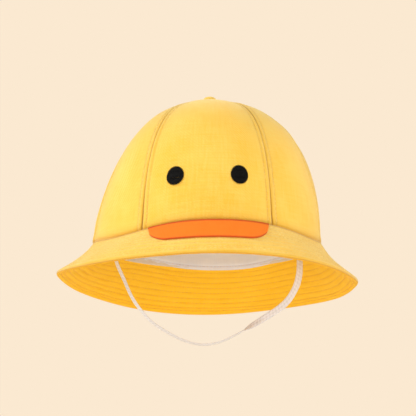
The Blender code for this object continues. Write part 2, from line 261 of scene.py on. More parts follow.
# the real twill has 0.4 mm threads; they are drawn 0.9 mm apart so that they show
twillPitch = 0.9 * mm
# each palette is the body colour, the painted-shade colour and the pale colour
yellowTwill = ("#f8c232", "#c48a04", "#fbd664")
# painted shade: the same yellow twill, coloured deeper for the brim's shaded underside
shadedYellowTwill = ("#fcc314", "#d8930a", "#ffcc2e")
orangeTwill = ("#ff7c06", "#c23602", "#ff8a14")
whitePoplin = ("#e6ecf9", "#b2aebc", "#f4f7fe")
finishes = {
    # brushed cotton, so its edges go pale against the light
    "upper": wovenCloth("yellow_cotton_twill", yellowTwill, twillPitch, sheen=0.55, sheenColour="#fff6cc"),
    # the same cloth in the brim's own shade, where it lights itself and looks deeper
    "under": wovenCloth("yellow_cotton_twill_in_painted_shade", shadedYellowTwill, twillPitch, sheen=0.3, sheenColour="#ffd860"),
    # densely dyed cotton, pressed smooth, so its colour is flat and strong
    "bill": wovenCloth(
        "orange_cotton_twill", orangeTwill, twillPitch, sheen=0.35, streaks=0.2, grain=0.25,
        sheenColour="#ff8a1e",
    ),
    # thin plain-woven cotton, drawn with 0.7 mm threads for real ones of 0.25 mm; cool white and quite matt
    "lining": wovenCloth("white_cotton_poplin", whitePoplin, 0.7 * mm, 0.95, 0.1),
    "felt": pressedFelt("interlining_felt", ("#cfc8bd", "#efebe4")),
    "upperThread": twistedThread("yellow_polyester_thread", ("#e9ba45", "#fbdf8a")),
    # painted shade: the same yellow thread, coloured deeper where it runs on the brim's shaded underside
    "underThread": twistedThread("yellow_polyester_thread_in_painted_shade", ("#eda81a", "#f8bd3a")),
    "whiteThread": twistedThread("white_polyester_thread", ("#cdbcb2", "#efe6e0")),
    # rayon embroidery thread in a dense fill: deep black with only a faint gleam
    "eyeThread": twistedThread("black_rayon_thread", ("#040404", "#0c0b0a"), 0.62, 0.0, 0.15),
    "elastic": braidedElastic("white_braided_elastic", ("#d2cfd0", "#e6e5e8")),
    "tin": tinnedSteel("tinned_steel"),
}
print("materials made")


crown = {
    "radiusX": 0.0825,
    "radiusY": 0.0838,
    "shoulderHeight": 0.0886,
    "peakRise": 0.0227,
    "lean": 0.0018,
    "topAngle": 88,
    # how square the outline is, across and upwards, on each side
    "squareness": {"front": (4.4, 2.5), "right": (3.9, 2.35), "back": (3.9, 2.3), "left": (2.8, 1.65)},
    "wallLength": 0.139,  # from the seam to the top, along the cloth
}
brim = {
    "rimRadiusX": 0.1082,
    "rimRadiusY": 0.1090,
    "rimDrop": 0.0280,
    "saddle": 0.0020,
    "tiltSide": 0.0020,
    "tiltFront": 0.0020,
    "wave": 0.0014,
    "bow": 0.0008,
    "sideHollow": 0.0026,  # how much the slope sinks in halfway down at the sides
    "thickness": 0.0027,
    "slope": 0.0376,
}
seamCurve = {
    # where the seam between crown and brim sags or lifts: azimuth, spread in degrees, height
    "leftTemple": (-45, 27, -0.0056),
    "rightTemple": (56, 22, -0.0034),
    "leftSide": (-94, 12, 0.0012),
    "rightSide": (94, 14, 0.0014),
    "backLeft": (-141, 23, 0.0044),
    "backRight": (131, 20, 0.0038),
    "back": (180, 30, 0.0010),
}
rimCurve = {
    "frontLift": (0, 26, 0.0018),
    "leftCheek": (-57, 20, -0.0016),
    "rightCheek": (60, 20, -0.0014),
    "rightTip": (92, 14, 0.0020),
    "leftTip": (-92, 15, 0.0017),
    "backSag": (172, 24, -0.0009),
    "backLeft": (-125, 24, 0.0013),
}


@functools.lru_cache(maxsize=None)
def curveHeight(name, azimuth):
    curve = seamCurve if name == "seam" else rimCurve
    return sum(height * bell(degreesApart(azimuth, at), spread) for at, spread, height in curve.values())


def crownOutline(azimuth, climb):
    angle = climb * radians(crown["topAngle"])
    ahead, across = cos(azimuth), sin(azimuth)
    facing = crown["squareness"]["front" if ahead > 0 else "back"]
    beside = crown["squareness"]["right" if across > 0 else "left"]
    acrossPower = facing[0] * ahead * ahead + beside[0] * across * across
    upPower = facing[1] * ahead * ahead + beside[1] * across * across
    cosine, sine = cos(angle), abs(sin(angle))
    low, high = 0.5, 2.0
    for _ in range(26):
        middle = (low + high) / 2
        if (middle * cosine) ** acrossPower + (middle * sine) ** upPower < 1:
            low = middle
        else:
            high = middle
    share = low * cosine
    return share, crown["shoulderHeight"] * low * sin(angle) + crown["peakRise"] * (1 - share)


def crownOuter(azimuth, climb):
    share, height = crownOutline(azimuth, climb)
    lean = crown["lean"] * (height / (crown["shoulderHeight"] + crown["peakRise"])) ** 2
    sag = curveHeight("seam", azimuth) * (1 - smoothStep(climb, 0.0, 0.5))
    return Vector(
        (
            crown["radiusX"] * share * sin(azimuth) + lean,
            -crown["radiusY"] * share * cos(azimuth),
            height + sag,
        )
    )


def brimOuter(azimuth, reach):
    rimHeight = -brim["rimDrop"] - brim["saddle"] * cos(2 * azimuth) - brim["tiltSide"] * sin(azimuth)
    rimHeight += brim["tiltFront"] * cos(azimuth) + brim["wave"] * sin(3 * azimuth)
    rimHeight += curveHeight("rim", azimuth)
    hollow = brim["sideHollow"] * sin(azimuth) ** 4
    bow = (brim["bow"] - hollow) * 4 * reach * (1 - reach)
    radiusX = crown["radiusX"] + (brim["rimRadiusX"] - crown["radiusX"]) * reach + bow
    radiusY = crown["radiusY"] + (brim["rimRadiusY"] - crown["radiusY"]) * reach + bow
    height = rimHeight * reach + bow + curveHeight("seam", azimuth) * (1 - smoothStep(reach, 0, 1))
    return Vector((radiusX * sin(azimuth), -radiusY * cos(azimuth), height))


def surfaceNormal(surface, azimuth, run):
    step = 1e-3
    along = surface(azimuth, run + step) - surface(azimuth, run - step)
    around = surface(azimuth + step, run) - surface(azimuth - step, run)
    return around.cross(along).normalized()


def brimNormal(azimuth, reach):
    return -surfaceNormal(brimOuter, azimuth, reach)


def finishPiece(name, bm, material, body, nodes=()):
    mesh = bpy.data.meshes.new(name)
    bm.to_mesh(mesh)
    bm.free()
    mesh.materials.append(finishes[material])
    mesh.shade_smooth()
    piece = bpy.data.objects.new(name, mesh)
    scene.collection.objects.link(piece)
    if body:
        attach(piece, body)
    if nodes:
        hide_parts(*nodes)
    return piece


def makeCloth(columns, rows, surface, detail, size, ring=False):
    # surface(across, along) gives the place, and detail(across, along, place) the relief and the painted
    # shade
    bm = bmesh.new()
    uv = bm.loops.layers.uv.new("cloth")
    bmesh.ops.create_grid(bm, x_segments=columns, y_segments=rows, size=0.5)
    across = bm.verts.layers.float.new("across")
    along = bm.verts.layers.float.new("along")
    paintedShade = bm.verts.layers.float.new("paintedShade")
    for vert in bm.verts:
        vert[across] = vert.co.x + 0.5
        vert[along] = vert.co.y + 0.5
    if ring:
        first = {round(v[along], 4): v for v in bm.verts if v[across] < 1e-4}
        last = [v for v in bm.verts if v[across] > 1 - 1e-4]
        bmesh.ops.weld_verts(bm, targetmap={v: first[round(v[along], 4)] for v in last})
    for vert in bm.verts:
        vert.co = surface(vert[across], vert[along])
    bm.normal_update()
    for vert in bm.verts:
        relief, shade = detail(vert[across], vert[along], vert.co)
        vert.co += vert.normal * relief
        # painted shade, kept as a point attribute that darkens the cloth's colour
        vert[paintedShade] = min(max(shade, 0.0), 1.0)
    for face in bm.faces:
        far = max(loop.vert[across] for loop in face.loops)
        for loop in face.loops:
            here = loop.vert[across]
            if ring and far - here > 0.5:
                here += 1
            loop[uv].uv = (here * size[0], loop.vert[along] * size[1])
    bm.normal_update()
    return bm


def thicken(piece, thickness):
    shell = piece.modifiers.new("cloth thickness", "SOLIDIFY")
    shell.thickness = thickness
    shell.offset = -1


def outward(place):
    return Vector((place.x, place.y, 0)).normalized()


stitch = {"length": 2.5 * mm, "gap": 0.7 * mm, "thread": 0.42 * mm, "stand": 0.10 * mm}


def stitchMatrix(place, along, normal, length, width):
    side = normal.cross(along).normalized()
    turn = Matrix((side, normal, along)).transposed().to_4x4()
    return Matrix.Translation(place) @ turn @ Matrix.Diagonal((width / 2, width / 2, length / 2, 1))


def stitchRow(route):
    # route is a list of (place, normal) down the row; stitches follow it with a gap between them
    pitch = stitch["length"] + stitch["gap"]
    travelled, wanted, found = 0.0, pitch / 2, []
    for (here, normal), (there, nextNormal) in zip(route, route[1:]):
        step = (there - here).length
        while step > 0 and travelled + step >= wanted:
            share = (wanted - travelled) / step
            along = (there - here).normalized()
            up = normal.lerp(nextNormal, share)
            up = (up - along * up.dot(along)).normalized()
            found.append(stitchMatrix(here.lerp(there, share), along, up, stitch["length"], stitch["thread"]))
            wanted += pitch
        travelled += step
    return found


def sewStitches(matrices):
    # blanks stand a metre apart and are doubled until there are enough, then each goes to its place
    blank = 0.3
    bm = bmesh.new()
    bmesh.ops.create_uvsphere(bm, u_segments=6, v_segments=5, radius=blank)
    made = 1
    while made < len(matrices):
        copied = bmesh.ops.duplicate(bm, geom=bm.verts[:] + bm.edges[:] + bm.faces[:])["geom"]
        moved = [part for part in copied if isinstance(part, bmesh.types.BMVert)]
        bmesh.ops.translate(bm, verts=moved, vec=(made, 0, 0))
        made *= 2
    surplus = [vert for vert in bm.verts if round(vert.co.x) >= len(matrices)]
    bmesh.ops.delete(bm, geom=surplus, context="VERTS")
    for vert in bm.verts:
        number = round(vert.co.x)
        vert.co = matrices[number] @ ((vert.co - Vector((number, 0, 0))) / blank)
    return bm


elastic = {
    "width": 0.0045,
    "thickness": 0.0009,
    "length": 0.222,
    "planeY": -0.0420,
    "stations": 180,
    "route": (
        (-0.0632, -0.0010), (-0.0634, -0.0100), (-0.0620, -0.0195), (-0.0565, -0.0320), (-0.0512, -0.0435),
        (-0.0450, -0.0525), (-0.0370, -0.0610), (-0.0245, -0.0690), (-0.0130, -0.0742), (-0.0022, -0.0760),
        (0.0085, -0.0743), (0.0200, -0.0690), (0.0305, -0.0630), (0.0390, -0.0578), (0.0487, -0.0515),
        (0.0555, -0.0448), (0.0605, -0.0360), (0.0628, -0.0270), (0.0632, -0.0170), (0.0632, -0.0090),
        (0.0632, -0.0010),
    ),
    # share of the length, and the ribbon's turn there: 0 shows its edge to the front, 90 its face
    "turns": (
        (0.0, -34), (0.15, -26), (0.35, -15), (0.5, -7), (0.60, -4),
        (0.66, 60), (0.70, 88), (0.82, 98), (0.93, 110), (1.0, 124),
    ),
}


def smoothRoute(knots, steps=12):
    ends = [knots[0] * 2 - knots[1]] + knots + [knots[-1] * 2 - knots[-2]]
    fine = []
    for a, b, c, d in zip(ends, ends[1:], ends[2:], ends[3:]):
        for i in range(steps):
            t = i / steps
            bend = (b * 3 - a - c * 3 + d) * t**3 + (a * 2 - b * 5 + c * 4 - d) * t**2
            fine.append((bend + (c - a) * t + b * 2) / 2)
    return fine + [knots[-1]]


def spacedPoints(line, count):
    lengths = [0.0]
    for here, there in zip(line, line[1:]):
        lengths.append(lengths[-1] + (there - here).length)
    points, k = [], 0
    for i in range(count):
        want = lengths[-1] * i / (count - 1)
        while k < len(line) - 2 and lengths[k + 1] < want:
            k += 1
        share = (want - lengths[k]) / max(lengths[k + 1] - lengths[k], 1e-9)
        points.append(line[k].lerp(line[k + 1], min(share, 1.0)))
    return points, lengths[-1]


def turnAt(share):
    table = elastic["turns"]
    for (low, a), (high, b) in zip(table, table[1:]):
        if share <= high:
            return radians(a + (b - a) * smoothStep(share, low, high))
    return radians(table[-1][1])


def makeElastic():
    knots = [Vector((x, elastic["planeY"], z)) for x, z in elastic["route"]]
    count = elastic["stations"] + 1
    points, length = spacedPoints(smoothRoute(knots), count)
    outOfPlane = Vector((0, 1, 0))

    def ribbon(across, along):
        k = min(round(along * (count - 1)), count - 1)
        ahead = (points[min(k + 1, count - 1)] - points[max(k - 1, 0)]).normalized()
        turn = turnAt(along)
        wide = outOfPlane * cos(turn) + ahead.cross(outOfPlane) * sin(turn)
        thin = ahead.cross(wide)
        angle = 2 * pi * across
        cosine, sine = cos(angle), sin(angle)
        halfWidth = elastic["width"] / 2 * (1 + 0.02 * sin(along * 60))
        x = copysign(abs(cosine) ** 0.5, cosine) * halfWidth
        y = copysign(abs(sine) ** 0.7, sine) * elastic["thickness"] / 2
        return points[k] + wide * x + thin * y

    size = (2 * elastic["width"], length)
    bm = makeCloth(20, elastic["stations"], ribbon, lambda a, b, p: (0, 0), size, ring=True)
    bmesh.ops.holes_fill(bm, edges=[e for e in bm.edges if e.is_boundary], sides=0)
    bmesh.ops.recalc_face_normals(bm, faces=bm.faces)
    piece = finishPiece("chin_elastic_ribbon", bm, "elastic", "chin_strap", ["chin_elastic"])
    print("elastic made, length", round(length, 4))


makeElastic()


panel = {
    "names": ("front", "front_right", "back_right", "back", "back_left", "front_left"),
    "columns": 60,
    "rows": 104,
    "thickness": 1.1 * mm,
    "edgeRoll": 1.5 * mm,  # radius of the turned lower edge
    "seamDepth": 0.54 * mm,
    "seamWidth": 0.42 * mm,
    "sideSeamWiden": 1.7,  # the side seams gape more than the others, because the crown bends there
    "bandHeight": 0.22 * mm,  # the flat band that the seam allowance raises beside the seam
    "stitchOffset": 3.4 * mm,
    "stitchDepth": 0.30 * mm,
    "stitchedClimbs": (0.02, 0.82),
    "pullIn": 0.55 * mm,
    "pucker": 0.2 * mm,
    "drape": 0.75 * mm,
    "baseFolds": 0.22 * mm,
    "frontSeamSpread": 1.6,  # degrees that the front seams open towards the base
    # degrees that the seams stand forward: at the base, more halfway up, and less again near the top
    "sideSeamLean": (13, 9, 6),
    "rearSeamLean": (2, 5, 2),
    "sideHollow": 0.7 * mm,  # how far the cloth sinks in behind a side seam
    "flat": (0.088, 0.142),
    "area": 0.0089,
}


def seamAzimuth(index, climb):
    index %= 6
    base = 30 + 60 * index
    side = 1 if index < 3 else -1
    if index in (0, 5):
        base += side * panel["frontSeamSpread"] * (1 - smoothStep(climb, 0.0, 0.6))
    else:
        start, more, less = panel["sideSeamLean" if index in (1, 4) else "rearSeamLean"]
        base -= side * (start + more * smoothStep(climb, 0.0, 0.5) - less * smoothStep(climb, 0.5, 0.9))
    return radians(base)


def panelEdges(index, climb):
    low = seamAzimuth(index - 1, climb)
    high = seamAzimuth(index, climb)
    if index == 0:
        low -= 2 * pi
    return low, high


def crownRelief(azimuth, climb, radius, seamDistance, seed):
    fade = smoothStep(radius, 7 * mm, 18 * mm)
    d, up = seamDistance, climb * crown["wallLength"]
    wider = 1 + panel["sideSeamWiden"] * abs(sin(azimuth)) ** 6
    relief = -panel["seamDepth"] * (0.7 + 0.3 * wider) * bell(d, panel["seamWidth"] * wider)
    band = smoothStep(d, 0.7 * mm, 1.5 * mm) - smoothStep(d, 2.6 * mm, 3.6 * mm)
    relief += panel["bandHeight"] * band * fade
    uneven = 0.75 + 0.5 * ripple(up / (3.2 * mm), seed, 1.7)
    relief -= panel["stitchDepth"] * uneven * bell(d - panel["stitchOffset"], 0.75 * mm) * fade
    relief -= panel["pullIn"] * bell(d, 11 * mm)
    pucker = ripple(up / (5 * mm), d / (7 * mm), seed) * bell(d - 5.5 * mm, 4.5 * mm)
    relief += panel["pucker"] * pucker * fade
    relief += panel["drape"] * ripple(azimuth * 1.6, up / (42 * mm), seed * 0.3) * fade
    behind = (abs(azimuth) - seamAzimuth(1, climb)) * radius if abs(azimuth) <= pi else 0
    sunk = bell(behind - 7 * mm, 6 * mm) * smoothStep(behind, 0, 3 * mm)
    sunk *= sin(pi * min(max(climb, 0), 1))
    relief -= panel["sideHollow"] * sunk
    low = 1 - smoothStep(climb, 0.08, 0.5)
    relief += panel["baseFolds"] * ripple(azimuth * radius / (10 * mm), climb * 2.2, 4.1) * low
    relief += 0.5 * mm * bell(up - 3 * mm, 3 * mm)
    # painted shade: darker in the seam groove and along the stitch rows, at the crown's turned base and lower
    # lip, and in the hollow behind each side seam
    shade = 0.8 * bell(d, 0.45 * mm * wider) + 0.28 * bell(d - panel["stitchOffset"], 0.6 * mm) * fade
    shade += 0.9 * bell(up - 0.2 * mm, 1.3 * mm) + 0.25 * bell(up - 1.5 * mm, 3 * mm) + 0.3 * sunk
    return relief, shade


def clothSeed(index):
    # gives each panel its own wrinkles
    return index * 7.3 + 2


def makeCrownPanel(index):
    rollShare = 0.05
    roll = panel["edgeRoll"]
    startClimb = roll / crown["wallLength"]
    overlap = 0.0012  # radians that neighbouring edges run into each other, so that the seam is closed

    def climbAt(along):
        return startClimb + (1 - startClimb) * max(along - rollShare, 0) / (1 - rollShare)

    def azimuthAt(across, along):
        low, high = panelEdges(index, climbAt(along))
        low, high = low - overlap, high + overlap
        packed = across - 0.115 * sin(2 * pi * across)  # closer columns near the seams
        return low + (high - low) * packed

    def surface(across, along):
        azimuth = azimuthAt(across, along)
        place = crownOuter(azimuth, climbAt(along))
        if along < rollShare:
            angle = radians(115) * (1 - along / rollShare)
            place += outward(place) * roll * (cos(angle) - 1)
            place.z -= roll * sin(angle)
        return place

    def detail(across, along, place):
        azimuth = azimuthAt(across, along)
        climb = climbAt(along)
        low, high = panelEdges(index, climb)
        radius = hypot(place.x, place.y)
        distance = max(min(azimuth - low, high - azimuth), 0) * radius
        relief, shade = crownRelief(azimuth, climb, radius, distance, clothSeed(index))
        if along < rollShare:
            relief *= along / rollShare
            # painted shade, full at the turned-under lower edge
            shade = max(shade, 1 - along / rollShare)
        return relief, shade

    bm = makeCloth(panel["columns"], panel["rows"], surface, detail, panel["flat"])
    name = "crown_panel_" + panel["names"][index]
    piece = finishPiece(name + "_cloth", bm, "upper", "hat", [name])
    thicken(piece, panel["thickness"])


def crownStitchRoute(index, side):
    route = []
    seed = clothSeed((index if side < 0 else index + 1) % 6)
    first, last = panel["stitchedClimbs"]
    for i in range(121):
        climb = first + (last - first) * i / 120
        azimuth = seamAzimuth(index, climb)
        radius = hypot(*crownOuter(azimuth, climb).xy)
        azimuth += side * panel["stitchOffset"] / radius
        relief, _ = crownRelief(azimuth, climb, radius, panel["stitchOffset"], seed)
        normal = surfaceNormal(crownOuter, azimuth, climb)
        route.append((crownOuter(azimuth, climb) + normal * (relief + stitch["stand"]), normal))
    return route


def makeCrownStitching():
    stitches = []
    for index in range(6):
        for side in (-1, 1):
            stitches += stitchRow(crownStitchRoute(index, side))
    finishPiece("crown_topstitching", sewStitches(stitches), "upperThread", "hat")


for index in range(6):
    makeCrownPanel(index)
makeCrownStitching()
print("crown made")


quilting = {
    "columns": 330,
    "rows": 96,
    "firstRow": 3.6 * mm,
    "rowPitch": 4.1 * mm,
    "rowCount": 8,
    "wobble": 0.9 * mm,  # how far the sewing strays from an even row
    "edgeRow": 3.2 * mm,  # from the rim
    "clothThickness": 0.8 * mm,
    "roll": 1.35 * mm,
    "faceUp": {"upper": 1, "under": -1},  # the under ply's right side looks down
    "upper": {"seed": 1.0, "dip": 0.14 * mm, "pillow": 0.06 * mm, "wrinkle": 0.12 * mm, "shade": 0.12},
    "under": {"seed": 5.0, "dip": 0.20 * mm, "pillow": 0.08 * mm, "wrinkle": 0.42 * mm, "shade": 0.22},
    "flat": (0.61, 0.043),
}
rimReach = 1 - quilting["roll"] / brim["slope"]
brimRowPlaces = [quilting["firstRow"] + quilting["rowPitch"] * k for k in range(quilting["rowCount"])]
brimRowPlaces.append(rimReach * brim["slope"] - quilting["edgeRow"] + quilting["roll"])


def rowWobble(azimuth, row):
    return quilting["wobble"] * ripple(1.8 * sin(azimuth), 1.8 * cos(azimuth), row / (9 * mm))


def quiltRelief(ply, azimuth, distance):
    look = quilting[ply]
    seed = look["seed"]
    nearest = min(brimRowPlaces, key=lambda row: abs(distance - row))
    d = abs(distance - nearest - rowWobble(azimuth, nearest))
    x, y = 0.095 * sin(azimuth), 0.095 * cos(azimuth)
    relief = -look["dip"] * bell(d, 0.62 * mm)
    relief += look["pillow"] * smoothStep(d, 0.4 * mm, 1.9 * mm)
    band = round((distance - quilting["firstRow"]) / quilting["rowPitch"])
    slant = distance * 0.6
    depth = distance / (4.5 * mm) + seed + band * 0.37
    relief += look["wrinkle"] * ripple((x + slant) / (7.5 * mm), (y + slant) / (7.5 * mm), depth)
    relief += 0.45 * look["wrinkle"] * ripple((x - slant) / (3 * mm), (y - slant) / (3 * mm), depth + 9.1)
    relief += 0.35 * mm * ripple(x / (45 * mm), y / (45 * mm), distance / (30 * mm) + seed)
    if ply == "under":
        relief *= smoothStep(distance, 0, 4 * mm)
    uneven = 0.6 + 0.9 * ripple(x / (12 * mm), y / (12 * mm), band * 1.9 + seed)
    # painted shade along each quilting row, in the dip of the stitching, uneven along the row
    return relief, look["shade"] * bell(d, 0.5 * mm) * uneven


def makeBrimPly(ply):
    faceUp = quilting["faceUp"][ply]
    rollShare = 0.05
    roll = quilting["roll"]
    startReach = -0.02

    def split(along):
        run = 1 - along if faceUp > 0 else along
        beyond = max(run - (1 - rollShare), 0) / rollShare
        reach = startReach + (rimReach - startReach) * min(run / (1 - rollShare), 1)
        return reach, beyond

    def surface(across, along):
        azimuth = 2 * pi * across
        reach, beyond = split(along)
        normal = brimNormal(azimuth, reach)
        place = brimOuter(azimuth, reach)
        if faceUp < 0:
            place -= normal * brim["thickness"]
        if beyond > 0:
            out = (brimOuter(azimuth, rimReach) - brimOuter(azimuth, rimReach - 0.01)).normalized()
            turn = radians(90) * beyond
            place += normal * faceUp * roll * (cos(turn) - 1) + out * roll * sin(turn)
        return place

    def detail(across, along, place):
        azimuth = 2 * pi * across
        reach, beyond = split(along)
        relief, shade = quiltRelief(ply, azimuth, reach * brim["slope"])
        if beyond > 0:
            # painted shade on the rolled rim, darkest where it turns under
            return relief * (1 - beyond) ** 2, 0.25 + 0.6 * beyond**3
        if faceUp > 0:
            # painted shade in the groove where the upper ply meets the crown
            shade += 0.85 * bell(reach * brim["slope"] - 0.3 * mm, 1.1 * mm)
        return relief, shade

    bm = makeCloth(quilting["columns"], quilting["rows"], surface, detail, quilting["flat"], ring=True)
    node = "brim_" + ply
    piece = finishPiece(node + "_cloth", bm, ply, "hat", [node])
    thicken(piece, quilting["clothThickness"])


def makeBrimStitching(ply):
    faceUp = quilting["faceUp"][ply]
    stitches = []
    for row in brimRowPlaces:
        route = []
        for i in range(361):
            azimuth = 2 * pi * i / 360
            run = row + rowWobble(azimuth, row)
            reach = run / brim["slope"]
            relief, _ = quiltRelief(ply, azimuth, run)
            normal = brimNormal(azimuth, reach) * faceUp
            place = brimOuter(azimuth, reach) + normal * (relief + stitch["stand"])
            if faceUp < 0:
                place += normal * brim["thickness"]
            route.append((place, normal))
        stitches += stitchRow(route)
    finishPiece("brim_stitching_" + ply, sewStitches(stitches), ply + "Thread", "hat")


interlining = {"reach": 0.9, "depth": 1.15 * mm, "thickness": 0.5 * mm, "flat": (0.6, 0.036)}


def makeInterlining():
    def surface(across, along):
        azimuth, reach = 2 * pi * across, interlining["reach"] * (1 - along)
        return brimOuter(azimuth, reach) - brimNormal(azimuth, reach) * interlining["depth"]

    bm = makeCloth(120, 12, surface, lambda a, b, p: (0, 0), interlining["flat"], ring=True)
    piece = finishPiece("brim_interlining_felt", bm, "felt", "hat", ["brim_interlining"])
    thicken(piece, interlining["thickness"])


for ply in ("upper", "under"):
    makeBrimPly(ply)
for ply in ("upper", "under"):
    makeBrimStitching(ply)
makeInterlining()
print("brim made")


sweatband = {
    "columns": 260,
    "rows": 40,
    "topClimb": 0.195,
    "depth": 4.1 * mm,
    "seamDepth": 2.7 * mm,  # how near the crown's face the lower edge comes
    "hem": 2.6 * mm,
    "upperRow": 26.5 * mm,  # the second row of stitches, up from the lower edge
    "crease": 0.28 * mm,
    "bottom": -2.5 * mm,
    "top": 27 * mm,
    "sewn": 29 * mm,  # the height over which the band follows the dips of the seam
    "recess": {"azimuth": 57, "spread": 8, "height": 9 * mm, "depth": 1.3 * mm},
    "thickness": 0.7 * mm,
    "flat": (0.50, 0.030),
}


def sweatbandPlace(azimuth, along):
    top, bottom, recess = sweatband["top"], sweatband["bottom"], sweatband["recess"]
    height = bottom + along * (top - bottom)
    climb = max(height, 0) / crown["wallLength"]
    place = crownOuter(azimuth, climb)
    flare = bell(height + 2.0 * mm, 2.2 * mm)
    depth = sweatband["depth"] - (sweatband["depth"] - sweatband["seamDepth"]) * flare
    # the band lies flatter where the elastic is sewn in behind it
    beside = bell(abs(degreesApart(azimuth, 0)) - recess["azimuth"], recess["spread"])
    depth -= recess["depth"] * beside * bell(height, recess["height"])
    place -= outward(place) * depth
    place.z = height + (top - height) / sweatband["sewn"] * curveHeight("seam", azimuth)
    return place


def makeSweatband():
    def surface(across, along):
        return sweatbandPlace(-2 * pi * across, along)

    def detail(across, along, place):
        up = along * sweatband["sewn"]
        arc = across * 0.5
        relief = -0.25 * mm * bell(up - sweatband["hem"], 0.6 * mm)
        relief += 0.12 * mm * (1 - smoothStep(up, 1.6 * mm, 2.4 * mm))
        creases = ripple(arc / (26 * mm), up / (4.5 * mm), 2.2) * smoothStep(up, 3 * mm, 8 * mm)
        relief += sweatband["crease"] * creases
        relief += 0.14 * mm * ripple(arc / (4 * mm), up / (9 * mm), 7.7) * bell(up - 4 * mm, 5 * mm)
        relief -= 0.2 * mm * bell(up - sweatband["upperRow"], 0.6 * mm)
        # painted shade in the hem's groove and along the upper row of stitches
        shade = 0.6 * bell(up - sweatband["hem"], 0.5 * mm)
        return relief, shade + 0.5 * bell(up - sweatband["upperRow"], 0.5 * mm)

    bm = makeCloth(sweatband["columns"], sweatband["rows"], surface, detail, sweatband["flat"], ring=True)
    piece = finishPiece("sweatband_cloth", bm, "lining", "hat", ["sweatband"])
    thicken(piece, sweatband["thickness"])
    stitches = []
    for up in (sweatband["hem"], sweatband["upperRow"]):
        route = []
        for i in range(241):
            azimuth = 2 * pi * i / 240
            place = sweatbandPlace(azimuth, up / sweatband["sewn"])
            inward = -outward(place)
            route.append((place - inward * 0.12 * mm, inward))
        stitches += stitchRow(route)
    thread = finishPiece("sweatband_stitching", sewStitches(stitches), "whiteThread", "hat")


tape = {
    "names": ("front_right", "right", "back_right", "back_left", "left", "front_left"),
    "width": 0.012,
    "depth": 3.4 * mm,
    "stitched": 4.6 * mm,  # from the middle to each row
    "climbs": (0.12, 0.86),
    "thickness": 0.5 * mm,
    "flat": (0.012, 0.095),
}


def makeTape(index):
    low, high = tape["climbs"]

    def surface(across, along):
        climb = low + (high - low) * along
        azimuth = seamAzimuth(index, climb)
        radius = hypot(*crownOuter(azimuth, climb).xy)
        azimuth -= (across - 0.5) * tape["width"] / radius
        return crownOuter(azimuth, climb) - surfaceNormal(crownOuter, azimuth, climb) * tape["depth"]

    def detail(across, along, place):
        d = abs(across - 0.5) * tape["width"]
        relief = 0.15 * mm * bell(d, 1.5 * mm) - 0.2 * mm * bell(d - tape["stitched"], 0.6 * mm)
        relief += 0.1 * mm * ripple(along * 20, across * 2, index)
        # painted shade along both rows of stitches
        return relief, 0.5 * bell(d - tape["stitched"], 0.5 * mm)

    bm = makeCloth(18, 60, surface, detail, tape["flat"])
    node = "seam_tape_" + tape["names"][index]
    piece = finishPiece(node + "_cloth", bm, "lining", "hat", [node])
    thicken(piece, tape["thickness"])


makeSweatband()
for index in range(6):
    makeTape(index)
print("inside made")


bill = {
    "halfWidth": 0.0418,
    "length": 0.0235,
    "corner": 0.0120,
    "taper": 0.0046,  # how much each side draws in towards the free edge
    "swell": 1.5 * mm,
    "lift": 0.45 * mm,
    "shift": 1.0 * mm,
    "columns": 88,
    "rows": 24,
    "simulationScale": 20,
    "pressure": 3.0,
    "settling": 10,  # rounds of smoothing, as pressing with an iron gives
    "layerGap": 0.2 * mm,
    "fullness": 0.35 * mm,  # what the upper layer stands out even where it isn't filled
    "edgeBead": 0.25 * mm,
    "foldRows": (2.0 * mm, 7.5 * mm),  # down the slope, between the sewn strip and the free flap
}


def billEdge(offset):
    past = abs(offset) - (bill["halfWidth"] - bill["corner"])
    if past <= 0:
        return bill["length"]
    return bill["length"] - bill["corner"] + sqrt(max(bill["corner"] ** 2 - past**2, 0))


def billInset(point):
    # how far in a flat point lies from the nearest edge
    return min(point.y, billEdge(point.x) - point.y, bill["halfWidth"] - abs(point.x))


def makeBillPad():
    # two layers of the bill's cut shape, joined at the edge, laid out flat
    bm = bmesh.new()
    bm.loops.layers.uv.new("cloth")
    bm.verts.layers.float.new("paintedShade")
    upper = bm.verts.layers.float.new("upper")
    bmesh.ops.create_grid(bm, x_segments=bill["columns"], y_segments=bill["rows"], size=0.5)
    for vert in bm.verts:
        vert[upper] = 1.0
        offset = bill["halfWidth"] * sin(pi * vert.co.x)
        vert.co = Vector((offset, billEdge(offset) * (0.5 - vert.co.y), bill["layerGap"] / 2))
    result = bmesh.ops.extrude_face_region(bm, geom=bm.faces[:])
    made = [g for g in result["geom"] if isinstance(g, bmesh.types.BMVert)]
    bmesh.ops.translate(bm, verts=made, vec=(0, 0, -bill["layerGap"]))
    for vert in made:
        vert[upper] = 0.0
    bmesh.ops.recalc_face_normals(bm, faces=bm.faces)
    return bm


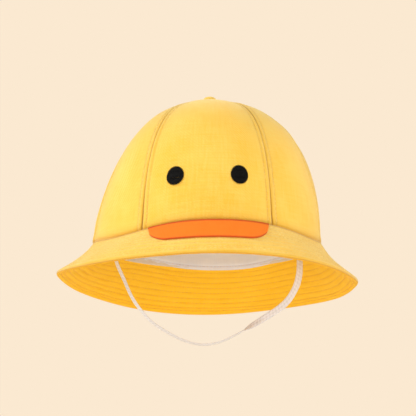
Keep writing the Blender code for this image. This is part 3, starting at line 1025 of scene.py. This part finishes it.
def swellBill(bm):
    # cloth simulation at a larger scale, with the sewn edge held and air pressing both layers out
    scale = bill["simulationScale"]
    bmesh.ops.scale(bm, vec=(scale, scale, scale), verts=bm.verts)
    mesh = bpy.data.meshes.new("bill_simulation")
    bm.to_mesh(mesh)
    thing = bpy.data.objects.new("bill_simulation", mesh)
    scene.collection.objects.link(thing)
    rim = {v.index for v in mesh.vertices if billInset(v.co / scale) < 0.2 * mm}
    thing.vertex_groups.new(name="sewn").add(sorted(rim), 1.0, "REPLACE")
    cloth = thing.modifiers.new("cloth", "CLOTH")
    cloth.settings.vertex_group_mass = "sewn"
    cloth.settings.use_pressure = True
    cloth.settings.uniform_pressure_force = bill["pressure"]
    cloth.settings.effector_weights.gravity = 0
    cloth.settings.shrink_min = -0.03  # the top cloth is cut a little full, so that it wrinkles at the seam
    cloth.point_cache.frame_start = 1
    cloth.point_cache.frame_end = 20
    for step in range(1, 21):
        scene.frame_set(step)
    settled = bmesh.new()
    settled.from_mesh(thing.evaluated_get(bpy.context.evaluated_depsgraph_get()).to_mesh())
    for _ in range(bill["settling"]):
        inner = [v for v in settled.verts if v.index not in rim]
        axes = {"use_axis_x": True, "use_axis_y": True, "use_axis_z": True}
        bmesh.ops.smooth_vert(settled, verts=inner, factor=0.5, **axes)
    heights = [v.co / scale for v in settled.verts]
    settled.free()
    scene.frame_set(1)
    bpy.data.objects.remove(thing)
    bmesh.ops.scale(bm, vec=(1 / scale, 1 / scale, 1 / scale), verts=bm.verts)
    return heights


def makeBill():
    bm = makeBillPad()
    uv = bm.loops.layers.uv["cloth"]
    paintedShade = bm.verts.layers.float["paintedShade"]
    upper = bm.verts.layers.float["upper"]
    bm.verts.index_update()
    for face in bm.faces:
        for loop in face.loops:
            loop[uv].uv = loop.vert.co.xy
    settled = swellBill(bm)
    highest = max(point.z for point in settled)
    for vert, point in zip(bm.verts, settled):
        down = vert.co.y
        share = max(point.z / highest, 0)
        bead = bell(billInset(vert.co) - 1.4 * mm, 1.2 * mm)
        raised = bill["fullness"] + bill["swell"] * share + bill["edgeBead"] * bead
        height = bill["lift"] + raised * vert[upper]
        reach = max(point.y, 0.4 * mm) / brim["slope"]
        drawnIn = 1 - bill["taper"] / bill["halfWidth"] * max(down, 0) / bill["length"]
        radius = crown["radiusY"] + reach * (brim["rimRadiusY"] - crown["radiusY"])
        azimuth = (point.x * drawnIn + bill["shift"]) / radius
        # painted shade: darker at the top where the bill goes under the crown's lip, and in a line along its
        # free lower edge
        shade = bell(max(down - 1.8 * mm, 0), 2.0 * mm) + 0.9 * bell(billEdge(vert.co.x) - down, 0.9 * mm)
        vert[paintedShade] = min(1.0, shade)
        vert.co = brimOuter(azimuth, reach) + brimNormal(azimuth, reach) * height
    bmesh.ops.recalc_face_normals(bm, faces=bm.faces)
    nodes = ["bill_sewn_edge", "bill_upper", "bill_wadding", "bill_under"]
    piece = finishPiece("bill_pad", bm, "bill", None, nodes)
    start, end = (brimOuter(0, row / brim["slope"]) for row in bill["foldRows"])
    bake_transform(piece, "hat", "bill", start=start, end=end)


makeBill()
print("bill made")


eye = {
    "azimuths": {"left": -15.2, "right": 15.1},
    "heights": {"left": 0.0307, "right": 0.0315},
    "radiusX": 0.0061,
    "radiusZ": 0.0064,
    "ground": 0.96,  # the ground's size, as a share of the stitched outline
    "rowPitch": 0.42 * mm,
    "stitch": 4.2 * mm,
    "overlap": 1.2 * mm,
    "thread": 0.5 * mm,
    "dome": 0.55 * mm,
}


def climbAtHeight(azimuth, height):
    low, high = 0.0, 0.9
    for _ in range(30):
        middle = (low + high) / 2
        if crownOuter(azimuth, middle).z < height:
            low = middle
        else:
            high = middle
    return low


def eyeDome(out):
    return 0.15 * mm + eye["dome"] * (1 - out**2.5)


def makeEye(side):
    centre = radians(eye["azimuths"][side])
    climb = climbAtHeight(centre, eye["heights"][side])
    perClimb = (crownOuter(centre, climb + 0.01) - crownOuter(centre, climb)).length / 0.01

    def onCrown(x, z, lift):
        azimuth = centre + x / crown["radiusY"]
        run = climb + z / perClimb
        place = crownOuter(azimuth, run)
        radius = hypot(place.x, place.y)
        low, high = panelEdges(0, run)
        distance = min(azimuth - low, high - azimuth) * radius
        relief, _ = crownRelief(azimuth, run, radius, distance, clothSeed(0))
        return place + surfaceNormal(crownOuter, azimuth, run) * (relief + lift)

    bm = bmesh.new()
    bmesh.ops.create_circle(bm, cap_ends=True, segments=40, radius=1)
    for share in (0.3, 0.25, 0.25):
        inner = max(bm.faces, key=lambda f: len(f.verts))
        bmesh.ops.inset_region(bm, faces=[inner], thickness=share)
    uv = bm.loops.layers.uv.new("cloth")
    for vert in bm.verts:
        x, z, _ = vert.co
        size = eye["ground"] * (1 + 0.02 * ripple(x * 3, z * 3, centre))
        vert.co = onCrown(x * eye["radiusX"] * size, z * eye["radiusZ"] * size, eyeDome(vert.co.length))
    threads = []
    count = round(2 * eye["radiusX"] / eye["rowPitch"])
    for i in range(count):
        x = -eye["radiusX"] + (i + 0.5) * eye["rowPitch"]
        half = eye["radiusZ"] * sqrt(max(1 - (x / eye["radiusX"]) ** 2, 0.02))
        half += 0.18 * mm * ripple(i * 1.9, centre * 4)
        pieces = max(1, round(2 * half / eye["stitch"]))
        shift = (i % 2) * 0.25
        cuts = [-half] + [half * (2 * (k + shift) / pieces - 1) for k in range(1, pieces)] + [half]
        for low, high in zip(cuts, cuts[1:]):
            middle = (low + high) / 2
            out = min(hypot(x / eye["radiusX"], middle / eye["radiusZ"]), 1)
            lift = eyeDome(out) + 0.06 * mm
            start, end = (onCrown(x, z, lift - 0.12 * mm) for z in (low, high))
            along = (end - start).normalized()
            place = onCrown(x, middle, lift)
            normal = surfaceNormal(crownOuter, centre, climb)
            normal = (normal - along * normal.dot(along)).normalized()
            length = (end - start).length + eye["overlap"]
            threads.append(stitchMatrix(place, along, normal, length, eye["thread"]))
    finishPiece("eye_" + side + "_ground", bm, "eyeThread", "hat", ["eye_" + side])
    finishPiece("eye_" + side + "_stitching", sewStitches(threads), "eyeThread", "hat")


makeEye("left")
makeEye("right")
print("eyes made")


button = {
    "radius": 5.4 * mm,
    "height": 4.2 * mm,
    "skirt": 0.6 * mm,  # the straight edge below the dome
    "cloth": 0.7 * mm,
    "folds": 14,
    "foldDepth": 0.25 * mm,
    "gap": 0.3 * mm,
}


def makeButton():
    base = crown["shoulderHeight"] + crown["peakRise"] + button["gap"]
    inner = button["radius"] - button["cloth"]
    outline = [(inner - 1.2 * mm, 0.2 * mm), (inner, -0.05 * mm), (button["radius"] - 0.1 * mm, 0.2 * mm)]
    for i in range(11):
        turn = pi / 2 * i / 10
        height = button["skirt"] + (button["height"] - button["skirt"]) * sin(turn)
        outline.append((button["radius"] * cos(turn) ** 0.8, height))
    outline[-1] = (0, button["height"])
    bm = bmesh.new()
    verts = [bm.verts.new((radius, 0, height)) for radius, height in outline]
    edges = [bm.edges.new(pair) for pair in zip(verts, verts[1:])]
    bmesh.ops.spin(bm, geom=verts + edges, axis=(0, 0, 1), angle=2 * pi, steps=84, use_merge=True)
    bmesh.ops.remove_doubles(bm, verts=bm.verts, dist=1e-6)
    bmesh.ops.recalc_face_normals(bm, faces=bm.faces)
    uv = bm.loops.layers.uv.new("cloth")
    paintedShade = bm.verts.layers.float.new("paintedShade")
    for face in bm.faces:
        for loop in face.loops:
            loop[uv].uv = loop.vert.co.xy
    for vert in bm.verts:
        angle = atan2(vert.co.y, vert.co.x)
        low = 1 - smoothStep(vert.co.z, 0.2 * mm, 2.2 * mm)
        crease = sin(angle * button["folds"] + 1.5 * sin(angle * 3))
        radius = hypot(vert.co.x, vert.co.y)
        if radius > 1 * mm:
            scale = 1 + button["foldDepth"] * crease * low / radius
            vert.co.x *= scale
            vert.co.y *= scale
        # painted shade in the fold hollows near the base and along the foot where the button meets the crown
        vert[paintedShade] = low * (0.25 + 0.3 * max(-crease, 0)) + 0.5 * bell(vert.co.z, 0.5 * mm)
        vert.co += Vector((crown["lean"], 0, base))
    finishPiece("button_cover_cloth", bm, "upper", "hat", ["button_cover"])


makeButton()
print("button made")


tab = {
    "width": 7.0 * mm,
    "length": 13 * mm,
    "climbs": (-0.004, 0.098),
    "perClimb": 0.13,  # metres that one unit of climb is worth below the seam
    "depth": 5.7 * mm,
    "cloth": 0.8 * mm,
    "bars": (0.25, 0.8),  # where the bar tacks cross it, as shares of its length
}


def makeTab(side):
    sign = -1 if side == "left" else 1
    centre = atan2(sign * elastic["route"][-1][0], -elastic["planeY"])
    low, high = tab["climbs"]

    def surface(across, along):
        azimuth = centre - (across - 0.5) * tab["width"] / crown["radiusX"]
        climb = low + (high - low) * along
        share, height = crownOutline(azimuth, max(climb, 0))
        height += min(climb, 0) * tab["perClimb"]
        out = Vector((sin(azimuth), -cos(azimuth), 0))
        place = Vector((crown["radiusX"] * share * out.x, crown["radiusY"] * share * out.y, height))
        return place - out * tab["depth"]

    def detail(across, along, place):
        edge = min(across, 1 - across) * tab["width"]
        ends = min(along, 1 - along) * tab["length"]
        relief = -0.5 * mm * bell(min(edge, ends), 0.7 * mm)
        return relief - 0.3 * mm * sum(bell(along - bar, 0.06) for bar in tab["bars"]), 0

    bm = makeCloth(16, 26, surface, detail, (tab["width"], tab["length"]))
    tacks = []
    for share in tab["bars"]:
        for k in range(9):
            place = surface((k + 1) / 10, share)
            tacks.append(stitchMatrix(place, Vector((0, 0, 1)), -outward(place), 2.2 * mm, 0.5 * mm))
    finishPiece("elastic_tacks_" + side, sewStitches(tacks), "whiteThread", "hat")
    node = "elastic_tab_" + side
    piece = finishPiece(node + "_cloth", bm, "elastic", "hat", [node])
    thicken(piece, tab["cloth"])


makeTab("left")
makeTab("right")
hiddenNodes = {
    "felt": ("crown_seam_allowance", "sweatband_stiffening"),
    "tin": ("button_shell_and_shank", "button_washer"),
}
for finish, nodes in hiddenNodes.items():
    for node in nodes:
        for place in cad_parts[node].material_slots:
            place.material = finishes[finish]
print("small parts made")


def makeStage():
    bm = bmesh.new()
    bmesh.ops.create_grid(bm, x_segments=1, y_segments=1, size=stageSettings["floorSize"] / 2)
    bmesh.ops.translate(bm, verts=bm.verts, vec=(0, 0, stageSettings["floorHeight"]))
    mesh = bpy.data.meshes.new("floor")
    bm.to_mesh(mesh)
    bm.free()
    paper, shader = startMaterial("matt_paper", 0.95)
    for socket in ("Base Color", "Emission Color"):
        shader.inputs[socket].default_value = hexColour(stageSettings["floorColour"])
    shader.inputs["Emission Strength"].default_value = stageSettings["floorGlow"]
    mesh.materials.append(paper)
    floor = bpy.data.objects.new("floor", mesh)
    scene.collection.objects.link(floor)
    world = bpy.data.worlds.new("studio")
    world.use_nodes = True
    background = world.node_tree.nodes["Background"]
    # the warm backdrop is only seen; a weaker and whiter light from all round falls on the hat
    path = addNode(world, "LightPath").outputs["Is Camera Ray"]
    soft = tuple(part * stageSettings["ambient"] for part in hexColour(stageSettings["ambientColour"]))
    warm = hexColour(stageSettings["backdrop"])
    seen = addNode(world, "Mix", {0: path, 6: soft, 7: warm}, data_type="RGBA")
    joinSocket(world, seen.outputs[2], background.inputs["Color"])
    scene.world = world


makeStage()
makeLights()

print("stage made")
